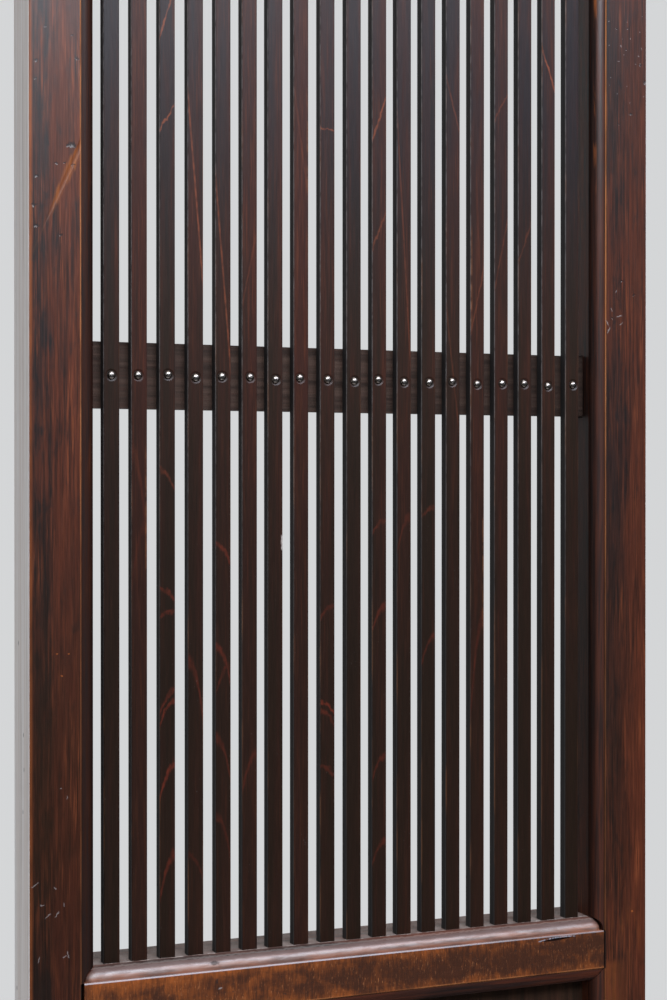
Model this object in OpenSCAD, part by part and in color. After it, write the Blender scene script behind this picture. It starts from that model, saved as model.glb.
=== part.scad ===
// Framed lattice door leaf.
// Two stiles and three rails carry a quirked roll on their inner edges. It is mitred at the corners, but on
// top of the middle rail it turns down at both ends, and the rolls of the stiles die on it.
// Above the middle rail upright slats are housed in the rails and nailed to one batten behind them.
// Below it a plain panel sits in grooves. The front looks along -Y, and the origin is under the middle
// of the foot.

/* [Frame] */
// Thickness of the stiles and rails, front to back
frame_t = 50; // [44:1:64]
// Width of a stile's flat face
stile_face = 39.5; // [34:0.5:60]
// Height of the top rail's flat face
top_face = 39.5; // [34:0.5:60]
// Height of the middle rail's flat face
middle_face = 31.5; // [24:0.5:60]
// Height of the bottom rail's flat face
bottom_face = 80; // [50:1:140]
// Height of the lattice opening, arris to arris
lattice_h = 890; // [700:5:1200]
// Height of the panel opening, arris to arris
panel_open_h = 665; // [400:5:900]
// Eased corner along the edges of the frame
ease = 0.8; // [0.3:0.1:1.2]

/* [Moulded edge] */
// Width of the moulded edge, seen from the front
stick_w = 11; // [8:0.5:14]
// Depth of the inner arris behind the face
stick_d = 9; // [6:0.5:9]
// Depth of the roll's crown behind the face
crown_d = 1.2; // [1:0.1:2]
// Width of the roll behind its crown, up to the step at the face
quirk_w = 2.5; // [1:0.25:3]

/* [Joints of the frame] */
// Length of a tenon
tenon_l = 30; // [20:1:34]
// Thickness of a tenon
tenon_t = 14; // [10:1:18]
// Wood left above and below a tenon
tenon_shoulder = 12; // [11:1:14]
// Opened joint between a rail's face and the left stile
left_joint_gap = 2.2; // [0.2:0.2:3]
// Opened joint between a rail's face and the right stile
right_joint_gap = 1.2; // [0.2:0.2:3]
// Clearance round a fitted piece, on each side
fit_gap = 0.15; // [0.05:0.05:0.3]

/* [Lattice] */
// Number of slats
slat_n = 19; // [9:1:25]
// Distance from slat to slat
slat_pitch = 22; // [19:0.5:28]
// Width of a slat
slat_w = 12.5; // [11:0.5:15]
// Thickness of a slat
slat_t = 8.5; // [7:0.5:11]
// Gap between an outer slat and the arris of its stile
side_gap = 9; // [6:0.5:14]
// Furthest that a slat stands off its even place
slat_drift = 0.7; // [0:0.1:1.2]
// Depth of the slats' front behind the face
slat_set = 10.5; // [9.5:0.5:13]
// Depth of a slat's pocket in a rail
slat_seat = 8; // [5:0.5:10]
// Eased corner along a slat's front edges
slat_ease = 0.7; // [0.3:0.1:1.5]

/* [Batten] */
// Height of the batten
batten_h = 50.5; // [30:0.5:80]
// Thickness of the batten
batten_t = 12; // [10:0.5:16]
// Middle of the batten above the middle rail
batten_rise = 445; // [200:5:600]
// Depth of the batten's notch in a stile
batten_seat = 10; // [6:0.5:14]
// Loose room above and below the batten in its notch
notch_room = 0.9; // [0.2:0.1:2]

/* [Nails] */
// Diameter of a nail's domed head
nail_head_d = 6.4; // [5:0.2:7.4]
// Height of the domed head
nail_head_h = 2.2; // [1.2:0.1:2.4]
// Diameter of the shank
nail_shank_d = 2.2; // [1.6:0.1:3]
// Length of the shank in the batten
nail_bite = 8; // [5:0.5:9]
// Depth to which the head is driven into the slat
dimple_d = 0.5; // [0.2:0.1:0.8]
// Width of the crushed slope round the head
dimple_w = 1.4; // [0.6:0.1:1.6]
// Furthest that a nail stands off the middle of its slat
nail_drift = 0.9; // [0:0.1:1.2]

/* [Panel] */
// Thickness of the panel
panel_t = 10; // [6:0.5:14]
// Depth of the panel's front behind the face
panel_set = 19; // [12:0.5:22]
// Depth of the panel's groove in the frame
groove_d = 9; // [6:0.5:10]
// Room left for the panel to swell, at its sides and top
swell_room = 0.8; // [0.3:0.1:2]

/* [Wear] */
// Length of the split in the middle rail's face
split_l = 30; // [10:1:60]
// Width of the split at its middle
split_w = 2.2; // [0.8:0.2:4]
// Depth of the split
split_d = 3; // [1:0.5:6]
// Middle of the split from the right arris
split_side = 35; // [25:1:90]
// Middle of the split below the upper edge of the rail's face
split_drop = 3.2; // [2.6:0.2:8]
// Lean of the split, up to the right
split_lean = 3; // [0:0.5:6]
// Length of the scrape across the left stile's face
scrape_l = 72; // [30:1:110]
// Width of the scrape where it starts, at the roll
scrape_w = 4.6; // [2:0.2:8]
// Depth of the scrape where it starts
scrape_d = 0.7; // [0.3:0.1:0.9]
// Start of the scrape above the middle rail
scrape_rise = 615; // [150:5:650]
// Lean of the scrape, from upright towards the outer edge
scrape_lean = 24.5; // [0:0.5:45]

/* [Hidden] */
$fn = 64;
// Depth to which joined shapes run into each other
lap = 0.4;

stile_w = stile_face + stick_w;
open_w = (slat_n - 1) * slat_pitch + slat_w + 2 * side_gap;
door_w = open_w + 2 * stile_w;

panel_z0 = bottom_face + stick_w;
panel_z1 = panel_z0 + panel_open_h;
lattice_z0 = panel_z1 + middle_face + 2 * stick_w;
lattice_z1 = lattice_z0 + lattice_h;
door_h = lattice_z1 + stick_w + top_face;
batten_z = lattice_z0 + batten_rise;

// The roll is an arc from the arris over its crown to the step at the face
crown_u = stick_w - quirk_w;
roll_d = stick_d - crown_d;
roll_r = (crown_u * crown_u + roll_d * roll_d) / (2 * roll_d);

tenon_set = (stick_d + frame_t - tenon_t) / 2;
batten_set = slat_set + slat_t;
nail_dome_r = (nail_head_d * nail_head_d / 4 + nail_head_h * nail_head_h) / (2 * nail_head_h);
nail_shank_l = slat_t - dimple_d + nail_bite;
nail_hole_d = nail_shank_d + 2 * fit_gap;

// Hand-set slats wander a little about their even places, in a short wave that swells and fades
wander_step = 60;
wander_start = 150;
swell_step = 10;
swell_start = -60;

function slat_wander(i) = sin(wander_step * i + wander_start) * cos(swell_step * i + swell_start);
function slat_x(i) = (i - (slat_n + 1) / 2) * slat_pitch + slat_drift * slat_wander(i);
// The nails were set by eye, off the middle of a slat by an uneven step
nail_step = 115;
nail_start = 65;
function nail_x(i) = slat_x(i) + nail_drift * sin(nail_step * i + nail_start);
function nail_z(i) = batten_z + nail_drift * cos(2 * nail_step * i);
function slat_name(i) = str("slat_", i < 10 ? "0" : "", i);

slats = [1 : slat_n];
slat_tones = ["#33201b", "#41231b", "#2c1d1a", "#3a231e"];

FRAME = ["left_stile", "right_stile", "top_rail", "middle_rail", "bottom_rail"];

// The pieces are drawn with y as the depth behind the front face
module from_face() translate([0, -frame_t / 2, 0]) children();

// Draws an outline of depth and height along X, between two places
module along_x(x0, x1) translate([x0, 0, 0]) rotate([90, 0, 90]) linear_extrude(x1 - x0) children();

// Section of the roll: x from the arris into the wood, y behind the face
module roll_section() intersection() {
    translate([crown_u, crown_d + roll_r]) circle(r = roll_r);
    square([stick_w + lap, stick_d]);
}

// Moulded edge along Z, with mitred ends that stand back from the mitre by gap_0 and gap_1, or a square foot
module sticking(run, gap_0 = 0, gap_1 = 0, square_foot = false) intersection() {
    translate([0, 0, -stick_w]) linear_extrude(run + 2 * stick_w) roll_section();
    translate([0, stick_d + lap, 0]) rotate([90, 0, 0]) linear_extrude(stick_d + 2 * lap) polygon([
        [0, square_foot ? -stick_w : 0],
        [gap_0, square_foot ? -stick_w : 0],
        [stick_w, gap_0 - stick_w],
        [stick_w + lap, gap_0 - stick_w],
        [stick_w + lap, run + stick_w - gap_1],
        [stick_w, run + stick_w - gap_1],
        [gap_1, run],
        [0, run]
    ]);
}

// Section of a stile without its moulded edge: x from the arris outwards, y behind the face
module stile_section() polygon([
    [0, stick_d],
    [stick_w, stick_d],
    [stick_w, ease],
    [stick_w + ease, 0],
    [stile_w - ease, 0],
    [stile_w, ease],
    [stile_w, frame_t - ease],
    [stile_w - ease, frame_t],
    [ease, frame_t],
    [0, frame_t - ease]
]);

// Tenon of a rail at the right arris, or its mortise when given room
module tenon(z0, z1, room = 0)
    translate([-lap, tenon_set - room, z0 + tenon_shoulder - room])
        cube([tenon_l + lap + room, tenon_t + 2 * room, z1 - z0 - 2 * (tenon_shoulder - room)]);

module groove(length) cube([groove_d + lap, panel_t + 2 * fit_gap, length]);

module batten_notch()
    translate([-lap, batten_set, batten_z - batten_h / 2 - notch_room])
        cube([batten_seat + lap + fit_gap, batten_t + fit_gap, batten_h + 2 * notch_room]);

// Outline of the turned end of the nosing: x from the end's axis outwards, y behind the face
module turn_section() intersection() {
    translate([stick_w, 0]) mirror([1, 0]) roll_section();
    square([stick_w, stick_d]);
}

// Turned end of the nosing, round an axis at the edge of the rail's face
module nosing_turn() {
    rotate([-90, 0, 0]) rotate([0, 0, -90]) rotate_extrude(angle = 90) turn_section();
    translate([0, 0, -lap]) linear_extrude(lap) turn_section();
}

// Roll along X on top of the middle rail, which turns down at both ends
module nosing() {
    run = open_w - left_joint_gap - right_joint_gap;
    translate([left_joint_gap, 0, 0]) {
        rotate([0, 90, 0]) linear_extrude(run) roll_section();
        translate([run, 0, -stick_w]) nosing_turn();
        translate([0, 0, -stick_w]) mirror([1, 0, 0]) nosing_turn();
    }
}

// Moulded edge of a stile beside the lattice, cut away round the turned end of the nosing
module lattice_sticking(joint_gap) difference() {
    sticking(lattice_h, square_foot = true);
    translate([-joint_gap, -lap, -stick_w]) rotate([-90, 0, 0])
        cylinder(h = stick_d + lap, r = stick_w + fit_gap);
}

// Stile on the right-hand side, seen from the front
module stile(joint_gap) translate([open_w / 2, 0, 0]) difference() {
    union() {
        linear_extrude(door_h) stile_section();
        translate([0, 0, panel_z0]) sticking(panel_open_h);
        translate([0, 0, lattice_z0]) lattice_sticking(joint_gap);
    }
    tenon(0, panel_z0, fit_gap);
    tenon(panel_z1, lattice_z0, fit_gap);
    tenon(lattice_z1, door_h, fit_gap);
    translate([-lap, panel_set - fit_gap, panel_z0 - groove_d]) groove(panel_open_h + 2 * groove_d);
    batten_notch();
}

// Long scrape that starts at the roll of the stile and runs out towards its outer edge
module scrape() {
    scrape_r = (scrape_w * scrape_w / 4 + scrape_d * scrape_d) / (2 * scrape_d);
    translate([open_w / 2 + stick_w, scrape_d - scrape_r, lattice_z0 + scrape_rise])
        rotate([0, 180 - scrape_lean, 0])
            rotate([atan(scrape_d / scrape_l), 0, 0])
                translate([0, 0, -stick_w]) cylinder(h = 2 * scrape_l, r = scrape_r);
}

module left_stile() color("#4b2c22") from_face() mirror([1, 0, 0]) difference() {
    stile(left_joint_gap);
    scrape();
}

module right_stile() color("#532c20") from_face() stile(right_joint_gap);

// Rail between two heights, with a moulded edge where an opening lies under or over it, or a nosing over it
module rail(z0, z1, opens_under, opens_over, nosed = false) {
    face_z0 = opens_under ? z0 + stick_w : z0;
    face_z1 = opens_over ? z1 - stick_w : z1;
    face_x0 = left_joint_gap - stick_w - open_w / 2;
    face_x1 = open_w / 2 + stick_w - right_joint_gap;
    along_x(face_x0, face_x1) polygon([
        [0, face_z0 + ease],
        [ease, face_z0],
        [stick_d, face_z0],
        [stick_d, face_z1],
        [ease, face_z1],
        [0, face_z1 - ease]
    ]);
    along_x(-open_w / 2, open_w / 2) polygon([
        [stick_d, z0],
        [frame_t - ease, z0],
        [frame_t, z0 + ease],
        [frame_t, z1 - ease],
        [frame_t - ease, z1],
        [stick_d, z1],
        [stick_d, face_z1 - ease],
        [ease, face_z1 - ease],
        [ease, face_z0 + ease],
        [stick_d, face_z0 + ease]
    ]);
    if (opens_over) translate([-open_w / 2, 0, z1]) if (nosed) nosing(); else rail_sticking();
    if (opens_under) translate([-open_w / 2, 0, z0]) mirror([0, 0, 1]) rail_sticking();
    for (side = [0, 1]) mirror([side, 0, 0]) translate([open_w / 2, 0, 0]) tenon(z0, z1);
}

module rail_sticking() rotate([0, 90, 0]) sticking(open_w, left_joint_gap, right_joint_gap);

// Pockets for the slat ends, reaching up from a height or, with a depth below zero, down from it
module slat_pockets(z, depth)
    for (i = slats)
        translate([slat_x(i) - slat_w / 2 - fit_gap, slat_set - fit_gap, depth > 0 ? z - lap : z + depth])
            cube([slat_w + 2 * fit_gap, slat_t + 2 * fit_gap, abs(depth) + lap]);

module rail_groove(z, up)
    translate([-open_w / 2 - lap, panel_set - fit_gap, up ? z - lap : z - groove_d])
        cube([open_w + 2 * lap, panel_t + 2 * fit_gap, groove_d + lap]);

module top_rail() color("#4b2c22") from_face() difference() {
    rail(lattice_z1, door_h, true, false);
    slat_pockets(lattice_z1, slat_seat);
}

// Outline of the split, pointed at both ends
module split_outline() {
    split_r = (split_l * split_l + split_w * split_w) / (4 * split_w);
    intersection_for (side = [-1, 1]) translate([0, side * (split_r - split_w / 2)]) circle(r = split_r);
}

module middle_rail() color("#6b3b22") from_face() difference() {
    rail(panel_z1, lattice_z0, true, true, true);
    slat_pockets(lattice_z0, -slat_seat);
    rail_groove(panel_z1, true);
    translate([open_w / 2 - split_side, split_d, lattice_z0 - stick_w - split_drop])
        rotate([90, -split_lean, 0]) linear_extrude(split_d + lap) split_outline();
}

module bottom_rail() color("#4b2c22") from_face() difference() {
    rail(0, panel_z0, false, true);
    rail_groove(panel_z0, false);
}

module lower_panel() color("#2a1914") from_face()
    translate([swell_room - groove_d - open_w / 2, panel_set, panel_z0 - groove_d])
        cube([open_w + 2 * (groove_d - swell_room), panel_t, panel_open_h + 2 * groove_d - swell_room]);

module batten() color("#2e2320") from_face() difference() {
    translate([-open_w / 2 - batten_seat, batten_set, batten_z - batten_h / 2])
        cube([open_w + 2 * batten_seat, batten_t, batten_h]);
    for (i = slats)
        translate([nail_x(i), batten_set - lap, nail_z(i)]) rotate([-90, 0, 0])
            cylinder(h = nail_bite + fit_gap + lap, d = nail_hole_d);
}

// Hole for a nail's shank, with the dimple that its head has crushed into the slat's front
module nail_seat() {
    seat_r = nail_head_d / 2 + fit_gap;
    rotate([-90, 0, 0]) {
        cylinder(h = slat_t + lap, d = nail_hole_d);
        rotate_extrude() polygon([
            [0, -lap],
            [seat_r + dimple_w, -lap],
            [seat_r + dimple_w, 0],
            [seat_r, dimple_d],
            [0, dimple_d]
        ]);
    }
}

module slat_section() polygon([
    [slat_ease - slat_w / 2, 0],
    [slat_w / 2 - slat_ease, 0],
    [slat_w / 2, slat_ease],
    [slat_w / 2, slat_t],
    [-slat_w / 2, slat_t],
    [-slat_w / 2, slat_ease]
]);

module slat(i) color(slat_tones[i % len(slat_tones)]) from_face() translate([0, slat_set, 0]) difference() {
    translate([slat_x(i), 0, lattice_z0 - slat_seat])
        linear_extrude(lattice_h + 2 * slat_seat - fit_gap) slat_section();
    translate([nail_x(i), 0, nail_z(i)]) nail_seat();
}

// Nail along -Y, with the underside of its head at the origin
module nail() rotate([90, 0, 0]) rotate_extrude() {
    intersection() {
        translate([0, nail_head_h - nail_dome_r]) circle(r = nail_dome_r);
        square([nail_head_d, nail_head_h]);
    }
    translate([0, -nail_shank_l]) square([nail_shank_d / 2, nail_shank_l + nail_head_h / 2]);
}

module slat_nails() color("#b9b4aa") from_face()
    for (i = slats) translate([nail_x(i), slat_set + dimple_d, nail_z(i)]) nail();

left_stile();
right_stile();
top_rail();
middle_rail();
bottom_rail();
lower_panel();
batten();
for (i = slats) slat(i);
slat_nails();
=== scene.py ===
"""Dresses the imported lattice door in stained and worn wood, with hammered nails and a plain studio."""

import functools
import math

import bpy
from bpy.props import FloatProperty, FloatVectorProperty, IntProperty, PointerProperty
from bpy.types import Operator, Panel, PropertyGroup
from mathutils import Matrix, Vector


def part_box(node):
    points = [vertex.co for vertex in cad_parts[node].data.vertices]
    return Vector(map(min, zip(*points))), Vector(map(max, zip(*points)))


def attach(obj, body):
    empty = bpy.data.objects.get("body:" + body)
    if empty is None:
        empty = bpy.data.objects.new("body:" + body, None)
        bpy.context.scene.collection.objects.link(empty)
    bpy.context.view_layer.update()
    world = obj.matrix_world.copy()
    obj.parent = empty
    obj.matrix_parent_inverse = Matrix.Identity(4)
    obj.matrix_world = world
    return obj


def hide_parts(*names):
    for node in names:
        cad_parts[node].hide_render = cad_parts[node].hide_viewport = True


bl_info = {
    "name": "Lattice Door Dresser",
    "version": (1, 0, 0),
    "blender": (4, 5, 0),
    "location": "View3D > Sidebar > Lattice Door",
    "description": "Finishes a framed lattice door with stained wood, wear, nails and a plain studio",
    "category": "Object",
}

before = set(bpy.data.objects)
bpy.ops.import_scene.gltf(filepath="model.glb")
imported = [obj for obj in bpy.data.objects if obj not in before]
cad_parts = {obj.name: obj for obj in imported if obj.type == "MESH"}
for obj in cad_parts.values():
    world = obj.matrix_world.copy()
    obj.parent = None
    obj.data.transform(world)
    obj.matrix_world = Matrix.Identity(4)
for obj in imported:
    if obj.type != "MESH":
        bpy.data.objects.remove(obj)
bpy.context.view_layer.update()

# Places on the door, in metres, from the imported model
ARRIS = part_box("right_stile")[0].x
OUTER_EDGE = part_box("right_stile")[1].x
FACE_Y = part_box("right_stile")[0].y
SLAT_FRONT_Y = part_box("slat_10")[0].y
STILE_W = OUTER_EDGE - ARRIS

# Sizes of the moulded edge, of the eased corners and of a slat, as the wood was cut
MOULD_W = 0.011
MOULD_D = 0.009
EASE = 0.0008
SLAT_W = 0.0125
SLAT_EDGE = SLAT_W / 2

# Split in the middle rail's face: its middle from the right arris and below the face's top, its half length
# and half width, and its rise for each unit along
SPLIT_IN = 0.035
SPLIT_DROP = 0.0032
SPLIT_HALF_L = 0.0165
SPLIT_HALF_W = 0.0011
SPLIT_RISE = 0.0524

# Other marks on the middle rail: place across the door, drop below the top of the nosing or the face,
# half size, squash across, and raggedness
NOSING_DENT = (-0.1195, 0.0055, 0.0022, 0.45, 0.0020)
FACE_SCUFF = (-0.1154, 0.0139, 0.0013, 0.7, 0.0030)
FACE_SCORE = (-0.1180, 0.0080, 0.0026, 2.2, 0.0030)

# Depth behind the face at which the dust of the middle rail's ledge starts
NOSING_D = 0.0046

# Step of the noise from one slat to the next
SLAT_SEED = 5.3

# How red each slat took its stain, from near-black at 0 to red-brown at 1
SLAT_REDNESS = (
    0.25, 0.75, 0.35, 0.45, 0.45, 0.65, 0.4, 0.75, 0.45, 0.25,
    0.45, 0.45, 0.3, 0.35, 0.55, 0.5, 0.3, 0.4, 0.25,
)

# Slats, counted from the left
SLATS = range(1, len(SLAT_REDNESS) + 1)

# Growth rings that the stain missed: height at the slat's middle, rise from its left to its right, strength
SLAT_RINGS = {
    2: ((1.180, -0.070, 0.2), (1.130, 0.050, 0.2)),
    3: (
        (0.951, 0.026, 0.9), (1.452, 0.022, 0.9), (1.532, 0.040, 0.9),
        (1.002, 0.018, 0.8), (1.010, 0.018, 0.6), (0.880, 0.034, 0.6),
        (1.179, -0.017, 0.5), (1.089, -0.010, 0.6), (1.074, 0.004, 0.5),
    ),
    4: ((1.398, -0.150, 0.7), (1.025, -0.045, 0.5), (0.882, -0.020, 0.3)),
    5: (
        (1.335, -0.150, 0.6), (1.040, -0.030, 0.6), (1.026, 0.022, 0.4),
        (0.968, -0.035, 0.4), (0.907, -0.035, 0.3), (1.121, -0.015, 0.7),
    ),
    6: ((0.955, 0.030, 0.35), (1.340, 0.060, 0.2)),
    8: ((1.440, -0.090, 0.2),),
    9: (
        (0.997, -0.011, 0.9), (0.989, -0.011, 0.5), (1.073, 0.009, 0.4),
        (1.452, -0.004, 0.7), (0.947, -0.008, 0.4),
    ),
    11: (
        (1.140, 0.012, 0.4), (1.464, 0.036, 0.8), (1.375, 0.030, 0.45),
        (0.882, 0.018, 0.4), (1.070, 0.020, 0.5), (0.950, 0.020, 0.4),
    ),
    12: ((1.365, -0.210, 0.3), (1.140, 0.030, 0.3)),
    13: ((1.044, 0.022, 0.4), (1.152, 0.008, 0.4)),
    14: ((1.262, -0.110, 0.2), (1.480, -0.045, 0.3)),
    15: ((1.045, 0.080, 0.3), (1.322, 0.055, 0.3)),
    16: ((1.362, 0.060, 0.25), (1.482, 0.022, 0.35)),
    17: ((1.372, 0.035, 0.3),),
    18: ((1.516, -0.036, 0.9),),
}

# Height below which rings are bowed and broad, not straight and fine
BOWED_BELOW = 1.2

# Slat edges rubbed through to the wood: side, then the lowest and highest place
RUBBED_EDGES = {
    2: ((1.0, 1.10, 1.20),),
    8: ((1.0, 1.40, 1.48),),
    15: ((1.0, 1.05, 1.16), (-1.0, 1.30, 1.38)),
}

# Slat edges with a pale, torn chip: side, then the lowest and highest place
CHIPPED_EDGES = {7: ((1.0, 1.120, 1.132),)}

# Bruises on the faces of the stiles: place across and up the door, and half size
LEFT_BRUISES = (
    (-0.2508, 1.5096, 0.0011), (-0.2312, 1.5048, 0.0009), (-0.2274, 1.4881, 0.0012),
    (-0.2583, 1.4839, 0.0016), (-0.2583, 1.4706, 0.0012), (-0.2584, 1.3985, 0.0018),
    (-0.2599, 1.3771, 0.0017), (-0.2426, 1.4091, 0.0012), (-0.2312, 1.4232, 0.0026),
    (-0.2338, 1.4231, 0.0020), (-0.2372, 1.4100, 0.0010), (-0.2585, 1.3620, 0.0016),
    (-0.2400, 1.3560, 0.0011), (-0.2310, 1.4085, 0.0012),
)
RIGHT_BRUISES = (
    (0.2347, 1.5531, 0.0009), (0.2433, 1.5368, 0.0010), (0.2483, 1.4831, 0.0013),
    (0.2370, 1.4739, 0.0010), (0.2573, 1.5250, 0.0013), (0.2632, 1.5104, 0.0020),
    (0.2450, 1.5545, 0.0009), (0.2234, 1.5613, 0.0011), (0.2400, 1.3425, 0.0010),
    (0.2514, 1.3313, 0.0010), (0.2304, 1.3112, 0.0008),
)

# Squash of a bruise, which leaves it wider than tall, and the raggedness of its rim
BRUISE_SQUASH = 0.62
BRUISE_ROUGH = 0.0040

# Ends of the long scrape on the left stile: place across and up the door
SCRAPE_ENDS = ((-0.2235, 1.4262), (-0.2550, 1.3560))

# Pale nicks on the left stile: place across and up the door, half length, and lean in degrees
LEFT_NICKS = (
    (-0.2595, 0.8754, 0.0040, 35), (-0.2541, 0.8601, 0.0020, 0), (-0.2499, 0.8517, 0.0032, 40),
    (-0.2430, 0.8524, 0.0030, 55), (-0.2346, 0.8217, 0.0034, 100), (-0.2370, 0.8205, 0.0020, 20),
    (-0.2567, 0.8198, 0.0030, 75), (-0.2402, 0.9458, 0.0010, 0), (-0.2352, 0.9387, 0.0014, 90),
    (-0.2445, 0.8720, 0.0014, 120), (-0.2375, 0.8590, 0.0018, 90), (-0.2515, 1.5530, 0.0044, 30),
)

# Bright specks where the stain is thin on the stiles: place across and up the door, and half size
LEFT_SPECKS = ((-0.2429, 1.0456, 0.0008), (-0.2338, 1.0453, 0.0008), (-0.2391, 1.0292, 0.0009))
RIGHT_SPECKS = ((0.2502, 0.8127, 0.0012),)

# Pale scuffs on the right stile, as the nicks on the left one
RIGHT_NICKS = (
    (0.2250, 1.3085, 0.0060, 118), (0.2272, 1.3010, 0.0040, 60), (0.2375, 1.3130, 0.0036, 15),
    (0.2390, 1.3065, 0.0024, 40), (0.2342, 1.3335, 0.0016, 70), (0.2300, 1.3180, 0.0020, 100),
)

# Old nail holes in the bare edge of the left stile: depth behind the face, and height; and their half size
EDGE_HOLES = ((0.0354, 1.0517), (0.0188, 0.9843), (0.0172, 0.9584), (0.0207, 0.9265), (0.0415, 0.7897))
HOLE_HALF = 0.0024

# Height on a nail's head above which the hammer moved its points, and how far
DOME_FOOT = 0.0004
HAMMERED = 0.00006

# Width of a nail's point, as a share of its shank
POINT_WIDTH = 0.6


def tint(label, note, colour):
    """Colour that a user can change."""
    return FloatVectorProperty(
        name=label, description=note, subtype="COLOR", size=3, min=0.0, max=1.0, default=colour
    )


def length(label, note, size):
    """Length that a user can change, in metres."""
    return FloatProperty(
        name=label, description=note, subtype="DISTANCE", unit="LENGTH", min=0.0, default=size, precision=4
    )


def share(label, note, amount):
    """Amount from 0 to 1 that a user can change."""
    return FloatProperty(name=label, description=note, subtype="FACTOR", min=0.0, max=1.0, default=amount)


def tilt(label, note, degrees):
    """Angle that a user can change."""
    return FloatProperty(name=label, description=note, subtype="ANGLE", default=math.radians(degrees))


class WoodFinish(PropertyGroup):
    """Colours and polish of the wood."""

    near_black: tint("Near-black stain", "Stain where it soaked in most", (0.0125, 0.0094, 0.009))
    umber: tint("Umber stain", "Stain low on the door", (0.029, 0.012, 0.0056))
    red_brown: tint("Red-brown stain", "Stain over most of the frame", (0.084, 0.022, 0.0105))
    red_streak: tint("Red streak", "Grain that stayed red", (0.18, 0.05, 0.019))
    red_slat: tint("Red slat", "Stain of the reddest slats", (0.048, 0.0148, 0.0098))
    ring: tint("Ring", "Growth rings through the stain", (0.22, 0.06, 0.026))
    deep_ring: tint("Deep ring", "Growth rings low on the slats", (0.12, 0.02, 0.01))
    rail_brown: tint("Rail brown", "Dark figure of the middle rail", (0.041, 0.0115, 0.0036))
    rail_amber: tint("Rail amber", "Rubbed face of the middle rail", (0.258, 0.066, 0.0105))
    worn_wood: tint("Worn wood", "Wood where the stain has worn off", (0.42, 0.165, 0.062))
    grey_wood: tint("Weathered wood", "Bare outer edges of the stiles", (0.7, 0.675, 0.66))
    pink_wood: tint("Weathered grain", "Warmer bands in the bare edges", (0.62, 0.56, 0.525))
    dust: tint("Dust", "Dust on the ledges", (0.2, 0.168, 0.152))
    lip: tint("Raised fibres", "Torn fibres at the feet of the slats", (0.46, 0.4, 0.365))
    gouge: tint("Gouge", "Wood torn open by the long scrape", (0.26, 0.086, 0.028))
    orange: tint("Orange stain", "Thin stain over bright wood", (0.32, 0.09, 0.022))
    bruise: tint("Bruise", "Fresh wood in dents", (0.42, 0.39, 0.38))
    # The film tint paints a pale bluish highlight along the nosing's foot and on the rim of the split
    film: tint("Film", "Old lacquer under the nosing", (0.4, 0.47, 0.56))
    # The left roll's darker tint is painted shade: the same moulding as the right roll, facing away from
    # the light
    left_roll_shaded: tint("Left roll", "Roll of the left stile", (0.018, 0.0072, 0.0046))
    right_roll: tint("Right roll", "Roll of the right stile", (0.064, 0.02, 0.0115))
    copper_dark: tint("Dark copper", "Darker figure of the rails' rolls", (0.11, 0.036, 0.016))
    copper_light: tint("Light copper", "Lighter figure of the rails' rolls", (0.27, 0.092, 0.042))
    # Dull copper is painted shade on the tops of the rails' rolls
    copper_shaded: tint("Dull copper", "Tops of the rails' rolls", (0.088, 0.05, 0.043))
    slat_low: tint("Low slat stain", "Deep stain low on the slats", (0.0192, 0.0104, 0.0058))
    # The high slat stain is bluish as a painted reflection of the sky
    slat_high_sky_tint: tint("High slat stain", "Deep stain high on the slats", (0.013, 0.0106, 0.0125))
    # The slat sides' grey is dull wood with a painted sheen of the pale backdrop
    slat_side_and_sheen: tint("Slat side", "Dull sides of the slats", (0.043, 0.041, 0.041))
    batten_dark: tint("Dark batten", "Darker figure of the batten", (0.026, 0.0175, 0.014))
    batten_light: tint("Light batten", "Lighter figure of the batten", (0.07, 0.044, 0.0335))
    panel_dark: tint("Dark panel", "Darker figure of the panel", (0.014, 0.008, 0.005))
    panel_light: tint("Light panel", "Lighter figure of the panel", (0.034, 0.0165, 0.0095))
    polish: share("Polish", "Strength of the wax on front faces", 0.42)


class NailForm(PropertyGroup):
    """Sizes of the hammered nails."""

    head_height: length("Head height", "Height of a head above its underside", 0.0022)
    rim: length("Rim height", "Straight rim under the dome", 0.00035)
    flat: share("Hammered flat", "Width of the dome's flat, as a share of the head", 0.3)
    shank_width: length("Shank", "Width of the shank", 0.0022)
    sides: IntProperty(name="Sides", description="Corners round a head", min=12, max=64, default=28)
    steel: tint("Steel", "Bright metal of the heads", (0.42, 0.4, 0.38))
    tarnish: tint("Tarnish", "Brown film on the heads", (0.075, 0.048, 0.03))


class Studio(PropertyGroup):
    """Camera, floor and light."""

    camera_spot: FloatVectorProperty(
        name="Camera place", description="Where the camera stands", subtype="XYZ", unit="LENGTH", size=3,
        default=(-0.57375, -1.37398, 1.16642),
    )
    camera_turn: tilt("Camera turn", "Turn of the camera to the right", 22.264)
    camera_dip: tilt("Camera dip", "Dip of the camera below level", 0.279)
    lens: FloatProperty(name="Lens", description="Focal length", unit="CAMERA", min=10.0, default=66.776)
    floor_radius: length("Floor radius", "Reach of the floor before it fades out", 1.6)
    backdrop: tint("Backdrop", "Pale colour behind the door", (0.66, 0.67, 0.68))
    floor_colour: tint("Floor", "Pale colour of the floor", (0.62, 0.61, 0.6))
    sky: share("Overhead light", "Brightness of the dome overhead", 0.7)
    low: share("Low light", "Brightness of the dome near the floor", 0.05)


def operator_pair(operation):
    """Methods for an operator and for its reflected form."""

    def plain(self, other):
        return self.graph.operate(operation, self, other)

    def reflected(self, other):
        return self.graph.operate(operation, other, self)

    return plain, reflected


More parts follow.
